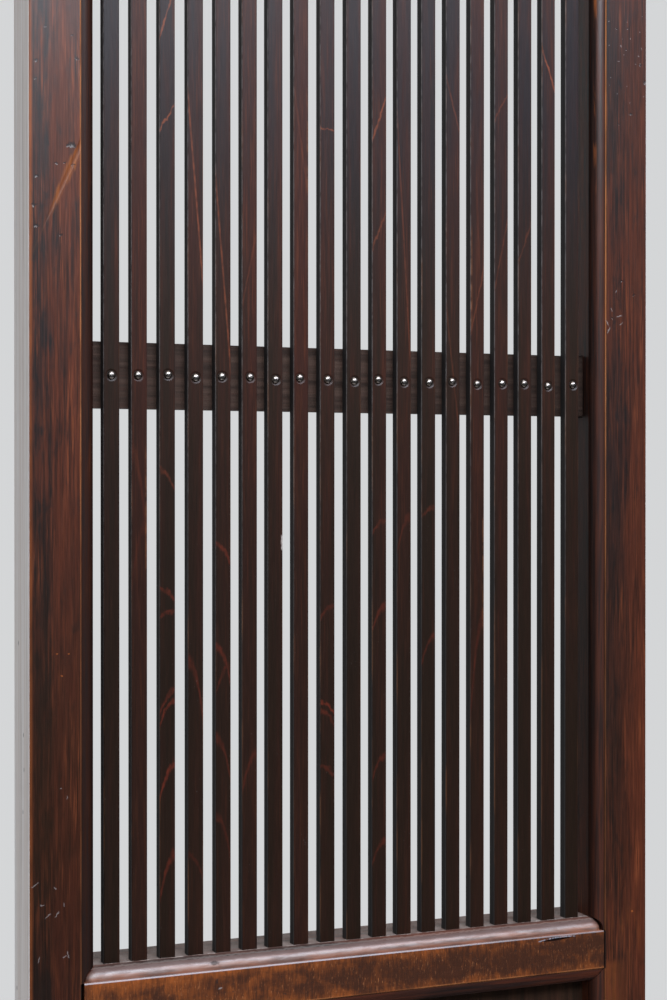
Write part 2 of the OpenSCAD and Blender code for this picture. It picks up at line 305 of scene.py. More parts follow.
class Value:
    """Shader socket for Python arithmetic: an expression on values adds its nodes."""

    def __init__(self, graph, socket):
        self.graph = graph
        self.socket = socket

    def out(self, name):
        """Another output of the same node."""
        return Value(self.graph, self.socket.node.outputs[name])

    def is_wide(self):
        """True for a colour or a vector."""
        return self.socket.type in {"RGBA", "VECTOR"}

    __add__, __radd__ = operator_pair("ADD")
    __sub__, __rsub__ = operator_pair("SUBTRACT")
    __mul__, __rmul__ = operator_pair("MULTIPLY")
    __truediv__, __rtruediv__ = operator_pair("DIVIDE")

    def __abs__(self):
        return self.graph.operate("ABSOLUTE", self)

    def most(self, other):
        """The higher of two values."""
        return self.graph.operate("MAXIMUM", self, other)

    def ramp(self, start, end):
        """Goes smoothly from 0 at start to 1 at end."""
        return self.graph.node(
            "ShaderNodeMapRange",
            {"interpolation_type": "SMOOTHSTEP"},
            {"Value": self, "From Min": start, "From Max": end},
        )

    def band(self, middle, half, soft):
        """1 within half of the middle, fading to 0 over soft."""
        return abs(self - middle).ramp(half + soft, half)


def highest(parts):
    """The highest of several values."""
    return functools.reduce(Value.most, parts)


class Graph:
    """Builds one node tree."""

    def __init__(self, tree):
        self.tree = tree
        tree.nodes.clear()

    def node(self, kind, settings=None, inputs=None, output=0):
        """Adds a node, sets it up, feeds its sockets and returns one of its outputs."""
        made = self.tree.nodes.new(kind)
        for name, value in (settings or {}).items():
            setattr(made, name, value)
        for name, value in (inputs or {}).items():
            self.feed(made.inputs[name], value)
        return Value(self, made.outputs[output]) if made.outputs else None

    def feed(self, socket, value):
        """Links a value to a socket, or sets a number or colour on it."""
        if isinstance(value, Value):
            self.tree.links.new(value.socket, socket)
        elif socket.type == "RGBA":
            socket.default_value = (*value[:3], 1.0)
        else:
            socket.default_value = value

    def operate(self, operation, *terms):
        """Math node, or Vector Math where a term is a colour or a vector."""
        if any(isinstance(term, Value) and term.is_wide() for term in terms):
            wide = [(term,) * 3 if isinstance(term, (int, float)) else term for term in terms]
            return self.node("ShaderNodeVectorMath", {"operation": operation}, dict(enumerate(wide)))
        return self.node("ShaderNodeMath", {"operation": operation}, dict(enumerate(terms)))

    def mix(self, amount, first, second):
        """Colour between two colours."""
        sockets = {"Factor_Float": amount, "A_Color": first, "B_Color": second}
        made = self.tree.nodes.new("ShaderNodeMix")
        made.data_type = "RGBA"
        for socket in made.inputs:
            if socket.identifier in sockets:
                self.feed(socket, sockets[socket.identifier])
        return Value(self, next(s for s in made.outputs if s.identifier == "Result_Color"))

    def vector(self, x, y, z):
        """Vector from three values."""
        return self.node("ShaderNodeCombineXYZ", None, {"X": x, "Y": y, "Z": z})

    def split(self, vector):
        """First value of a vector, with the others as its outputs."""
        return self.node("ShaderNodeSeparateXYZ", None, {"Vector": vector})

    def bump(self, height, distance, strength=1.0):
        """Normal of a relief that follows a height from 0 to 1."""
        sockets = {"Strength": strength, "Distance": distance, "Height": height}
        return self.node("ShaderNodeBump", None, sockets, "Normal")

    def surface(self, sockets):
        """Surface of the material, from the values of a Principled shader."""
        shader = self.node("ShaderNodeBsdfPrincipled", None, sockets)
        self.node("ShaderNodeOutputMaterial", None, {"Surface": shader})


class Board:
    """Places on a piece of wood: x, y and z on the door, and noise that runs along the grain."""

    def __init__(self, graph, grain, seed):
        self.graph = graph
        spot = graph.node("ShaderNodeTexCoord", output="Object")
        split = graph.split(spot)
        self.x = split.out("X")
        self.y = split.out("Y")
        self.z = split.out("Z")
        self.depth = self.y - FACE_Y
        self.along = self.z if grain == "Z" else self.x
        self.across = self.x if grain == "Z" else self.z
        self.seed = seed

    def noise(self, across, along, detail=2.0, shift=0.0, twist=0.0):
        """Noise with so many cells to the metre across and along the grain, from 0 to 1."""
        vector = self.graph.vector(
            self.across * across + self.seed, self.y * across - shift, self.along * along + shift * 3.7
        )
        return self.graph.node(
            "ShaderNodeTexNoise",
            None,
            {"Vector": vector, "Scale": 1.0, "Detail": detail, "Roughness": 0.55, "Distortion": twist},
        )

    def between(self, low, high):
        """1 between two heights, fading at both ends."""
        return self.z.band((low + high) / 2, (high - low) / 3, (high - low) / 4)

    def spots(self, across, places, squash, rough):
        """Ragged spots round places (across, height, half size), squashed across by a share."""
        graph = self.graph
        ragged = (self.noise(620, 620, 3.0, 31.0).out("Color") - 0.5) * rough
        sheet = graph.vector(across * squash, 0.0, self.z) + ragged
        found = []
        for place, height, half in places:
            centre = (place * squash, 0.0, height)
            ends = {0: sheet, 1: centre}
            away = graph.node("ShaderNodeVectorMath", {"operation": "DISTANCE"}, ends, "Value")
            found.append(away.ramp(half, half * 0.4))
        return highest(found)

    def mark(self, top, x, drop, half, squash, rough):
        """One ragged spot at a drop below a height."""
        return self.spots(self.x, ((x, top - drop, half),), squash, rough)

    def strokes(self, places, rough):
        """Thin strokes at places (x, z, half length, lean in degrees)."""
        graph = self.graph
        ragged = (self.noise(520, 520, 2.0, 41.0).out("Color") - 0.5) * rough
        sheet = graph.split(graph.vector(self.x, 0.0, self.z) + ragged)
        found = []
        for x, z, half, lean in places:
            cosine = math.cos(math.radians(lean))
            sine = math.sin(math.radians(lean))
            from_x = sheet - x
            from_z = sheet.out("Z") - z
            along = abs(from_x * cosine + from_z * sine)
            aside = abs(from_z * cosine - from_x * sine)
            found.append(along.ramp(half, half * 0.4) * aside.ramp(0.0006, 0.0001))
        return highest(found)

    def nicks(self, cells, chance, shift):
        """Short nicks that lie any way, scattered over the front face."""
        graph = self.graph
        ragged = (self.noise(700, 700, 2.0, 37.0).out("Color") - 0.5) * 0.25
        sheet = graph.vector(self.x * cells + shift, self.z * cells, 0.0) + ragged
        cell = graph.node(
            "ShaderNodeTexVoronoi",
            {"voronoi_dimensions": "2D", "feature": "F1"},
            {"Vector": sheet, "Scale": 1.0, "Randomness": 1.0},
            "Position",
        )
        off = graph.split(sheet - cell)
        luck = graph.node("ShaderNodeSeparateColor", None, {"Color": cell.out("Color")})
        turn = luck.out("Red") * math.tau
        cosine = graph.operate("COSINE", turn)
        sine = graph.operate("SINE", turn)
        reach = abs(off.out("X") * cosine + off.out("Y") * sine)
        aside = abs(off.out("Y") * cosine - off.out("X") * sine)
        long = luck.out("Blue") * 0.16 + 0.03
        chosen = luck.out("Green").ramp(1.0 - chance, 1.02 - chance)
        return (long - reach).ramp(0.0, 0.06) * aside.ramp(0.075, 0.02) * chosen


class Grain:
    """Layers of figure in a stained board, each from 0 to 1."""

    def __init__(self, board):
        self.blotch = board.noise(95, 9, 4.0, 1.3, 0.3).ramp(0.34, 0.66)
        self.streak = board.noise(250, 8, 4.0, 2.9, 0.4).ramp(0.36, 0.64)
        self.line = board.noise(560, 17, 4.0, 5.7, 0.2).ramp(0.32, 0.68)
        self.mottle = board.noise(170, 48, 4.0, 3.9, 0.4).ramp(0.52, 0.72)
        self.thread = board.noise(760, 24, 3.0, 4.3).ramp(0.48, 0.68)
        self.fibre = board.noise(1900, 60, 2.0, 6.1)
        self.pore = board.noise(1500, 95, 1.0, 8.7).ramp(0.6, 0.7)


def new_material(name):
    """Empty material and its graph."""
    material = bpy.data.materials.new(name)
    material.use_nodes = True
    return material, Graph(material.node_tree)


def wood_surface(graph, colour, roughness, polish, height, relief, gloss=(0.3, 1.5)):
    """Waxed wood, whose relief follows a height from 0 to 1; gloss is the wax's roughness and IOR."""
    sockets = {
        "Base Color": colour,
        "Roughness": roughness,
        "Specular IOR Level": 0.05,
        "Coat Weight": polish,
        "Coat Roughness": gloss[0],
        "Coat IOR": gloss[1],
        "Normal": graph.bump(height, relief),
    }
    graph.surface(sockets)


def dress(node, material):
    """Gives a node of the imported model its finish."""
    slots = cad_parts[node].data.materials
    slots.clear()
    slots.append(material)


def stile_stain(board, grain, finish, over_face, is_left):
    """Stain on a stile's face, browner low down and with red threads, with painted shade by height, and how
    deep it soaked in.
    """
    graph = board.graph
    z = board.z
    browned = z.ramp(1.25, 0.9)
    if is_left:
        low = z.ramp(1.2, 0.95)
        soot = board.noise(120, 30, 4.0, 27.0, 0.5).ramp(0.46, 0.64) * 0.3 + 0.27
        sooty = low * 0.04 + soot + z.ramp(0.83, 0.76) * 0.22
        bias = over_face.ramp(0.44, 0.72) * over_face.ramp(1.0, 0.86) * sooty + low * 0.12
        browned = browned * (1 - z.ramp(0.92, 0.76) * 0.6)
        # Painted shade: the left stile is darker low down, where the light falls off
        painted_light = z.ramp(0.8, 1.4) * 0.4 + 0.58
    else:
        low = z.band(1.07, 0.12, 0.16)
        sooty = low * 0.36 + z.ramp(1.28, 1.5) * 0.22 + z.ramp(0.85, 0.77) * 0.14 + 0.14
        bias = over_face.ramp(0.9, 0.1) * sooty - 0.04
        browned = browned * 0.45
        # Painted shade: the right stile is darker near the top
        painted_light = z.ramp(1.55, 1.3) * 0.2 + 0.66
    busy = board.noise(46, 14, 3.0, 35.0).ramp(0.36, 0.64)
    figure = grain.blotch * 0.26 + grain.streak * 0.14 + grain.mottle * 0.26
    figure = figure + grain.line * (busy * 0.26 + 0.12)
    soak = (figure * (1 - low * 0.35) + low * 0.12 + bias).ramp(0.0, 1.0)
    stain = graph.mix(soak, finish.red_brown, graph.mix(browned, finish.near_black, finish.umber))
    red = grain.thread * (1 - soak * 0.75) * (board.noise(90, 16, 3.0, 9.9).ramp(0.4, 0.62) * 0.7 + 0.3)
    stain = graph.mix(red * (busy * 0.7 + 0.3), stain, finish.red_streak)
    crisp = (0.5 - grain.line) * (busy * 0.45 + 0.15) * (1 - browned * 0.6) + 1.0
    return stain * ((grain.fibre + 0.5) * crisp * painted_light), soak


def long_scrape(board, grain):
    """Where the long scrape tore the left stile."""
    (x0, z0), (x1, z1) = SCRAPE_ENDS
    run = math.dist(*SCRAPE_ENDS)
    step_x = (x1 - x0) / run
    step_z = (z1 - z0) / run
    from_x = board.x - x0
    from_z = board.z - z0
    reach = (from_x * step_x + from_z * step_z) / run
    aside = abs(from_x * step_z - from_z * step_x)
    ragged = aside + (board.noise(420, 60, 4.0, 5.1) - 0.5) * 0.0058
    half = reach.ramp(-0.12, 0.22) * reach.ramp(1.05, 0.3) * 0.0025 + 0.0005
    torn = (half - ragged).ramp(-0.0014, 0.0016) * reach.ramp(-0.02, 0.06)
    return torn * (grain.line * 0.65 + 0.3) * (reach.ramp(1.0, 0.45) * 0.8 + 0.2)


def thin_stain(board, grain, out, over_face, on_face):
    """Where the stain is thin on the right stile: a speck, streaks on the roll, and its foot."""
    speck = board.spots(board.x, RIGHT_SPECKS, 0.8, 0.0016)
    streak = out.band(0.0028, 0.0004, 0.0012) * board.noise(150, 26, 3.0, 15.0).ramp(0.52, 0.68)
    streak = streak * board.depth.ramp(0.0095, 0.0085) * board.z.ramp(1.38, 1.5)
    rub = board.noise(120, 22, 3.0, 14.0).ramp(0.52, 0.7) * board.z.ramp(0.86, 0.76) * on_face
    foot = board.z.ramp(0.776, 0.768) * over_face.ramp(0.65, 0.1) * on_face
    return highest((speck * 0.6, streak * 0.5, rub * 0.18, foot * (grain.line * 0.22 + 0.08)))


def joint_shade(board, out):
    """Shade in the opened joint between a stile and the middle rail's face."""
    low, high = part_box("middle_rail")
    foot = low.z + MOULD_W
    top = high.z - MOULD_W
    at_rail = board.z.ramp(foot - 0.001, foot + 0.001) * board.z.ramp(top + 0.001, top - 0.001)
    return at_rail * out.ramp(MOULD_W + 0.0012, MOULD_W + 0.0004)


def bare_edge(board, grain, finish, holes):
    """Colour of a stile's weathered outer edge, and where its grain and old nail holes are open."""
    graph = board.graph
    bands = board.noise(340, 3.0, 3.0, 17.0).ramp(0.38, 0.62)
    grey = graph.mix(bands, finish.grey_wood, finish.pink_wood) * (grain.fibre * 0.4 + 0.8)
    check_line = board.depth + (board.noise(60, 7, 2.0, 19.0) - 0.5) * 0.004
    check = check_line.band(0.0188, 0.0001, 0.0005) * board.z.band(1.413, 0.06, 0.03)
    split_line = board.noise(420, 2.6, 2.0, 23.0).ramp(0.66, 0.7)
    opened = check.most(split_line * 0.4)
    if holes:
        opened = opened.most(board.spots(board.depth, holes, 2.0, 0.0009))
    return graph.mix(opened * 0.75, grey, finish.near_black), opened


def stile_wood(name, side, finish, seed):
    """Stile: stained front with worn edges, dark moulded edge, and a bare, weathered outer edge."""
    material, graph = new_material(name)
    board = Board(graph, "Z", seed)
    grain = Grain(board)
    z = board.z
    depth = board.depth
    is_left = side < 0
    out = board.x * side - ARRIS
    over_face = (out - MOULD_W) / (STILE_W - MOULD_W)
    on_roll = out.ramp(MOULD_W + 0.0002, MOULD_W - 0.0002) * depth.ramp(MOULD_D + 0.001, MOULD_D)
    on_face = depth.ramp(0.0009, 0.0003)

    stain, soak = stile_stain(board, grain, finish, over_face, is_left)
    # The left stile's roll takes the darker tint as painted shade
    roll_stain = finish.left_roll_shaded if is_left else finish.right_roll
    roll_colour_and_shade = graph.mix(grain.line * 0.8, roll_stain, finish.near_black)
    # Painted shade: the roll darkens towards its arris, where it turns in towards the opening
    roll_colour_and_shade = roll_colour_and_shade * (out.ramp(0.001, 0.0055) * 0.75 + 0.25)
    stain = graph.mix(on_roll * 0.8, stain, roll_colour_and_shade)

    patchy = board.noise(44, 22, 4.0, 11.0).ramp(0.32, 0.6)
    line_half = 0.0004 if is_left else 0.0001
    inner_line = out.band(MOULD_W + EASE * 0.3, line_half, 0.0006) * depth.ramp(0.0018, 0.001)
    if is_left:
        wear = inner_line * (patchy * 0.6 + 0.28) * (z.ramp(0.95, 1.4) * 0.75 + 0.25)
        outer_line = out.ramp(STILE_W - 0.0034, STILE_W - 0.0008) * (patchy * 0.5 + 0.4)
        edge_stain = outer_line * (z.ramp(1.15, 1.45) * 0.35 + 0.4)
        orange = edge_stain.most(board.spots(board.x, LEFT_SPECKS, 0.8, 0.0016) * 0.6)
        scrape = long_scrape(board, grain) * on_face
        rubbed = wear.most(scrape)
        losses = ((orange, finish.orange), (wear, finish.worn_wood), (scrape, finish.gouge))
        bruises = LEFT_BRUISES
        drop, crest = 0.0008, 0.55
        scratches = board.strokes(LEFT_NICKS, 0.0022) * 0.55
        holes = [(behind, height, HOLE_HALF) for behind, height in EDGE_HOLES]
        wax = z.ramp(0.75, 1.55) * 0.5 + 0.75
        roll_wax = 0.22
    else:
        wear = inner_line * (patchy * 0.4 + 0.5) * (z.ramp(0.95, 1.35) * 0.75 + 0.25)
        orange = thin_stain(board, grain, out, over_face, on_face)
        rubbed = wear
        losses = ((orange, finish.orange), (wear, finish.worn_wood))
        bruises = RIGHT_BRUISES
        drop, crest = 0.0007, 0.6
        flecks = board.nicks(150.0, 0.25, seed) * z.ramp(1.46, 1.54) * 0.6
        scratches = flecks.most(board.strokes(RIGHT_NICKS, 0.0024) * 0.6)
        holes = []
        wax = z.ramp(0.85, 1.45) * 0.9 + 0.26
        roll_wax = z.ramp(0.8, 1.3) * 0.55 + 0.4
    crests = [(x - 0.0004, height - drop, half * crest) for x, height, half in bruises]
    dark = board.spots(board.x, bruises, BRUISE_SQUASH, BRUISE_ROUGH) * on_face
    pale = board.spots(board.x, crests, BRUISE_SQUASH, BRUISE_ROUGH).most(scratches) * on_face
    joint = joint_shade(board, out)
    for amount, shown in losses:
        stain = graph.mix(amount, stain, shown)
    stain = graph.mix((dark * 0.9).most(joint * 0.95), stain, finish.near_black)
    stain = graph.mix(pale * (1 - dark * 0.4) * 0.55, stain, finish.bruise)
    bare = out.ramp(STILE_W - 0.0004, STILE_W - 0.0001)
    grey, opened = bare_edge(board, grain, finish, holes)
    colour = graph.mix(bare, stain, grey)

    crown = out.ramp(0.0025, 0.0085) * 0.85 + 0.15
    gloss = (1 - on_roll) * wax * finish.polish + on_roll * crown * roll_wax
    polish = (1 - bare) * (1 - rubbed * 0.8) * (1 - joint) * gloss
    polish = polish * (grain.fibre * 0.6 + 0.7) * (soak * 0.3 + 0.85)
    relief = grain.fibre * 0.5 - grain.pore * 0.3 - dark * 1.2 - opened * bare
    wood_surface(graph, colour, bare * 0.25 + 0.6, polish, relief, 0.0002)
    return material


def rail_face(board, finish, up_face):
    """Rubbed, mottled colour of a rail's face with its upright figure, and where it has dark flecks."""
    graph = board.graph
    figure = board.noise(85, 430, 3.0, 3.1, 0.5).ramp(0.32, 0.7)
    mottle = board.noise(70, 42, 4.0, 7.1, 0.6).ramp(0.32, 0.68)
    upright = board.noise(110, 1500, 2.0, 5.3)
    speck = board.noise(260, 1150, 2.0, 9.1).ramp(0.6, 0.74)
    edges = up_face.ramp(0.66, 1.0) * (board.x.ramp(0.16, -0.18) * 0.16 + 0.24)
    edges = edges + up_face.ramp(0.32, 0.0) * 0.28
    warm = figure * 0.26 + mottle * 0.34 + edges + board.x.ramp(0.08, -0.2) * 0.26 - 0.2
    rubbed = graph.mix(warm.ramp(0.0, 1.05), finish.rail_brown, finish.rail_amber)
    rubbed = graph.mix(speck * (mottle * 0.3 + 0.14), rubbed, finish.worn_wood)
    fleck = board.noise(420, 300, 3.0, 12.1).ramp(0.64, 0.74)
    return graph.mix(fleck * 0.5, rubbed, finish.near_black) * (upright * 1.3 + 0.35), fleck


def mark_rail(board, stain, finish, top, on_front):
    """Middle rail's stain with the pale rim of its split (torn fibres with a painted highlight), its dent
    and its scuffs, and where the dent is.
    """
    graph = board.graph
    face_top = top - MOULD_W
    along = board.x - (ARRIS - SPLIT_IN)
    above = board.z - (face_top - SPLIT_DROP)
    share_along = (along + above * SPLIT_RISE) / SPLIT_HALF_L
    over = above - along * SPLIT_RISE - (1 - share_along * share_along) * SPLIT_HALF_W
    rim = over.band(0.0005, 0.0003, 0.0004) * abs(share_along).ramp(1.15, 0.85) * on_front
    rim = rim * board.noise(300, 700, 3.0, 61.0).ramp(0.3, 0.6)
    # Pale rim above the split: torn fibres with a painted highlight
    stain = graph.mix(rim * 0.55, stain, finish.film)
    dent = board.mark(top, *NOSING_DENT)
    score = board.mark(face_top, *FACE_SCORE)
    stain = graph.mix(dent.most(score) * 0.7, stain, finish.near_black)
    return graph.mix(board.mark(face_top, *FACE_SCUFF) * 0.45, stain, finish.bruise), dent


def rail_wood(name, z0, z1, finish, amber, nosed, seed):
    """Rail: mottled, rubbed face with upright figure, polished roll, and a dusty ledge with torn fibres;
    painted shade darkens the roll under the face and the top of the roll, and a painted highlight lies
    along the face's top arris.
    """
    material, graph = new_material(name)
    board = Board(graph, "X", seed)
    grain = Grain(board)
    z = board.z
    depth = board.depth
    face_top = z1 - MOULD_W
    face_foot = z0 + MOULD_W
    above_foot = z.ramp(face_foot - 0.0004, face_foot + 0.0004)
    on_face = above_foot * z.ramp(face_top + 0.0002, face_top - 0.0004)
    on_front = on_face * depth.ramp(0.0012, 0.0004)
    back = NOSING_D if nosed else MOULD_D
    on_roll = (1 - on_face) * depth.ramp(back + 0.0004, back - 0.0004)
    upper = z.ramp(face_foot, face_top)

    rubbed, fleck = rail_face(board, finish, (z - face_foot) / (face_top - face_foot))
    plain = graph.mix(grain.streak * 0.6 + grain.blotch * 0.4, finish.near_black, finish.red_brown)
    stain = graph.mix(on_front * amber, plain * (grain.fibre * 0.7 + 0.65), rubbed)
    # Painted shade: the roll under the face is darkened
    stain = stain * (1 - on_roll * (1 - upper) * 0.3)
    roll_figure = board.noise(300, 26, 3.0, 33.0).ramp(0.36, 0.64)
    copper = graph.mix(roll_figure, finish.copper_dark, finish.copper_light)
    # Painted shade: the top of the roll turns to a darker, duller copper
    copper = graph.mix(z.ramp(z1 - 0.008, z1 - 0.0025), copper, finish.copper_shaded)
    stain = graph.mix(on_roll * amber * upper, stain, copper)

    patchy = board.noise(30, 22, 4.0, 11.0).ramp(0.36, 0.6)
    foot_wear = z.band(face_foot + EASE * 0.5, 0.0004, 0.001) * depth.ramp(0.002, 0.001)
    wear = foot_wear * (patchy * 0.6 + 0.15) * amber
    stain = graph.mix(wear * 0.7, stain, finish.worn_wood)
    # Painted highlight: a pale bluish line along the face's top arris, under the nosing
    top_arris_highlight = z.band(face_top - EASE * 0.4, 0.0003, 0.0005) * depth.ramp(0.002, 0.001)
    top_arris_highlight = top_arris_highlight * amber * (board.x.ramp(0.19, 0.02) * 0.5 + 0.5)
    stain = graph.mix(top_arris_highlight * 0.36, stain, finish.film)

    on_ledge = z.ramp(z1 - 0.0026, z1 - 0.002) * depth.ramp(back - 0.0005, back + 0.0003)
    dust = on_ledge * (board.noise(70, 70, 4.0, 21.0).ramp(0.3, 0.7) * 0.5 + 0.3)
    dust = dust * (depth.ramp(MOULD_D - 0.0005, MOULD_D + 0.0015) * 0.85 + 0.15)
    stain = graph.mix(dust, stain, finish.dust)
    torn = depth + (board.noise(160, 260, 4.0, 25.0) - 0.5) * 0.0036
    lip = torn.band(MOULD_D + 0.0012, 0.0005, 0.0007) * board.noise(90, 120, 3.0, 65.0).ramp(0.44, 0.58)
    lip = (lip * 0.75).most(torn.band(back + 0.0008, 0.0004, 0.0007) * 0.2) * on_ledge
    stain = graph.mix(lip * 0.7, stain, finish.lip)

    clouded = board.noise(380, 95, 4.0, 63.0, 0.4).ramp(0.34, 0.66)
    sheen = on_roll * (upper * 0.98 + 0.02) * (clouded * 0.45 + 0.72)
    waxed = (1 - dust) * (1 - wear)
    face_wax = finish.polish * 0.5
    coat = (0.33, 1.9)
    if nosed:
        stain, dent = mark_rail(board, stain, finish, z1, on_front)
        waxed = waxed * (1 - dent * 0.7)
        sheen = sheen * (1 - z.ramp(z1 - 0.0071, z1 - 0.0034) * 0.9)
        sheen = sheen * (1 - z.ramp(face_top + 0.0032, face_top + 0.001) * 0.5)
        face_wax = finish.polish * 0.16
        coat = (0.5, 3.2)
    gloss = sheen + (1 - on_roll) * face_wax + top_arris_highlight * 0.28
    polish = waxed * (grain.fibre * 0.4 + 0.8) * gloss
    relief = grain.fibre * 0.5 - grain.pore * 0.3 - fleck * on_front * 0.5 + lip * 0.8
    wood_surface(graph, stain, dust * 0.2 + 0.6, polish, relief, 0.0002, coat)
    return material


def slat_name(index):
    """Node of a slat, counted from the left."""
    return f"slat_{index:02d}"


def slat_middle(index):
    """Middle of a slat across the door."""
    low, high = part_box(slat_name(index))
    return (low.x + high.x) / 2


def ring_lines(board, aside, rings):
    """Growth rings across a slat."""
    wobble = (board.noise(260, 150, 3.0, 7.7) - 0.5) * 0.01
    lines = []
    for height, rise, strength in rings:
        slope = rise / SLAT_W
        is_low = height < BOWED_BELOW
        bow = abs(rise) * 1.1 / SLAT_W**2 if is_low else 0.0
        half = 0.0021 if is_low else 0.0011
        offset = board.z - (aside * slope + height) + aside * aside * bow + wobble
        lines.append(abs(offset / math.hypot(1.0, slope)).ramp(half, 0.0002) * strength)
    return highest(lines)


def slat_wood(index, finish):
    """Slat: its own depth of stain, faint rings across it, worn arrises and dull sides, with painted shade
    low down, a painted sky reflection high up, a painted highlight on its left arris and painted sheen on
    its sides.
    """
    material, graph = new_material(slat_name(index) + "_stain")
    board = Board(graph, "Z", index * SLAT_SEED)
    grain = Grain(board)
    z = board.z
    aside = board.x - slat_middle(index)
    front = board.y.ramp(SLAT_FRONT_Y + 0.0009, SLAT_FRONT_Y + 0.0002)
    bands = (board.noise(120, 3.2, 3.0, 2.2) + aside * 10.0).ramp(0.32, 0.7)
    redder = SLAT_REDNESS[index - 1] - 0.33
    warm = bands * 0.34 + grain.line * 0.2 + grain.streak * 0.1 + grain.blotch * 0.12 + redder
    warm = warm.ramp(0.05, 1.05) * (z.ramp(0.95, 1.4) * 0.5 + 0.5)
    # Painted reflection: the slats turn bluish towards the top, standing for the sky's reflection
    blue = z.ramp(1.25, 1.52)
    deep = graph.mix(blue, finish.slat_low, finish.slat_high_sky_tint)
    stain = graph.mix(warm * (1 - blue * 0.15), deep, finish.red_slat)
    stain = graph.mix(grain.thread * warm * 0.25, stain, finish.red_streak)
    # Painted shade: the slats darken low down, where the light falls off
    stain = stain * ((grain.fibre * 0.8 + 0.6) * (z.ramp(1.1, 1.45) * 0.31 + 0.62))
    # Sides take the grey of dull wood with a painted sheen of the backdrop
    stain = graph.mix(front.most(0.15), finish.slat_side_and_sheen, stain)

    patchy = board.noise(200, 120, 3.0, 12.0).ramp(0.34, 0.6)
    if index in SLAT_RINGS:
        missed = ring_lines(board, aside, SLAT_RINGS[index])
        bright = graph.mix(z.ramp(1.1, 1.3), finish.deep_ring, finish.ring)
        stain = graph.mix(missed * (patchy * 0.45 + 0.34) * front, stain, bright)

    near_front = board.y.ramp(SLAT_FRONT_Y + 0.0013, SLAT_FRONT_Y + 0.0007)
    edge = abs(aside).ramp(SLAT_EDGE - 0.0011, SLAT_EDGE - 0.0003) * near_front
    wear = edge * board.noise(60, 14, 4.0, 15.0).ramp(0.5, 0.68) * 0.14
    for side, low, high in RUBBED_EDGES.get(index, ()):
        rubbed = (aside * side).ramp(SLAT_EDGE - 0.0022, SLAT_EDGE - 0.0006) * board.between(low, high)
        wear = wear.most(rubbed * patchy * front * 0.22)
    stain = graph.mix(wear, stain, finish.worn_wood)
    for side, low, high in CHIPPED_EDGES.get(index, ()):
        ragged = aside * side + (board.noise(500, 300, 3.0, 57.0) - 0.5) * 0.003
        torn = ragged.ramp(SLAT_EDGE - 0.002, SLAT_EDGE - 0.0006) * board.between(low, high)
        stain = graph.mix(torn * 0.75, stain, finish.lip)
    dusty = board.noise(60, 30, 2.0, 52.0).ramp(0.54, 0.66) * z.ramp(1.3, 1.0) * front
    specks = board.noise(800, 800, 1.0, 51.0).ramp(0.74, 0.82) * dusty
    stain = graph.mix(specks * 0.5, stain, finish.dust)
    # Pale line on each slat's left arris: worn wood and a painted highlight where the arris faces the light
    left_arris_highlight = (aside * -1.0).ramp(SLAT_EDGE - 0.0008, SLAT_EDGE - 0.0004) * edge
    left_arris_highlight = left_arris_highlight * (patchy * 0.14 + 0.06) * z.ramp(0.95, 1.4)
    stain = graph.mix(left_arris_highlight, stain, finish.bruise)

    polish = front.most(edge) * (grain.fibre * 0.5 + 0.7) * (0.8 - warm * 0.25) * finish.polish
    relief = grain.fibre * 0.5 - grain.pore * 0.3
    wood_surface(graph, stain, 0.62 - front * 0.05, polish, relief, 0.00018)
    return material


def plain_wood(name, grain_axis, colours, seed, shine, painted_shade_share=0.0):
    """Board in the shade: dark stain with fine lines, which a share of painted shade darkens towards the
    door's right.
    """
    material, graph = new_material(name)
    board = Board(graph, grain_axis, seed)
    grain = Grain(board)
    dark, light, thread = colours
    stain = graph.mix(grain.streak * 0.6 + grain.blotch * 0.4, dark, light)
    stain = graph.mix(grain.thread * 0.25, stain, thread)
    # Painted shade: the stain darkens towards the door's right by the given share
    stain = stain * ((grain.fibre * 0.8 + 0.6) * (board.x.ramp(0.26, -0.02) * painted_shade_share + (1.0 - painted_shade_share)))
    polish = (grain.fibre * 0.5 + 0.5) * shine
    height = grain.fibre * 0.6 - grain.pore * 0.4
    wood_surface(graph, stain, 0.66 - grain.fibre * 0.06, polish, height, 0.00022)
    return material


def nail_metal(form):
    """Steel under a brown film, rubbed bright on top."""
    material, graph = new_material("hammered_steel")
    board = Board(graph, "Z", 3.0)
    film = board.noise(700, 700, 3.0, 1.7).ramp(0.36, 0.62)
    proud = board.y.ramp(SLAT_FRONT_Y - 0.0006, SLAT_FRONT_Y - 0.0019)
    colour = graph.mix((1 - proud) * 0.7 + film * 0.3, form.steel, form.tarnish)
    pits = board.noise(1600, 1600, 2.0, 4.4)
    bump = graph.bump(pits, 0.00015, 0.6)
    graph.surface({"Base Color": colour, "Metallic": 1.0, "Roughness": film * 0.14 + 0.17, "Normal": bump})
    return material


class LATTICE_OT_stiles(Operator):
    """Finishes the two stiles"""

    bl_idname = "lattice_door.stiles"
    bl_label = "Finish Stiles"

    def execute(self, context):
        finish = context.scene.door_wood
        dress("left_stile", stile_wood("left_stile_stain", -1.0, finish, 3.0))
        dress("right_stile", stile_wood("right_stile_stain", 1.0, finish, 41.0))
        return {"FINISHED"}


class LATTICE_OT_rails(Operator):
    """Finishes the three rails"""

    bl_idname = "lattice_door.rails"
    bl_label = "Finish Rails"

    def execute(self, context):
        finish = context.scene.door_wood
        for node, amber, seed, foot, head in (
            ("middle_rail", 1.0, 7.0, 0.0, 0.0),
            ("top_rail", 0.45, 19.0, 0.0, MOULD_W),
            ("bottom_rail", 0.6, 29.0, MOULD_W, 0.0),
        ):
            low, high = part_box(node)
            nosed = node == "middle_rail"
            stain = rail_wood(node + "_stain", low.z - foot, high.z + head, finish, amber, nosed, seed)
            dress(node, stain)
        return {"FINISHED"}


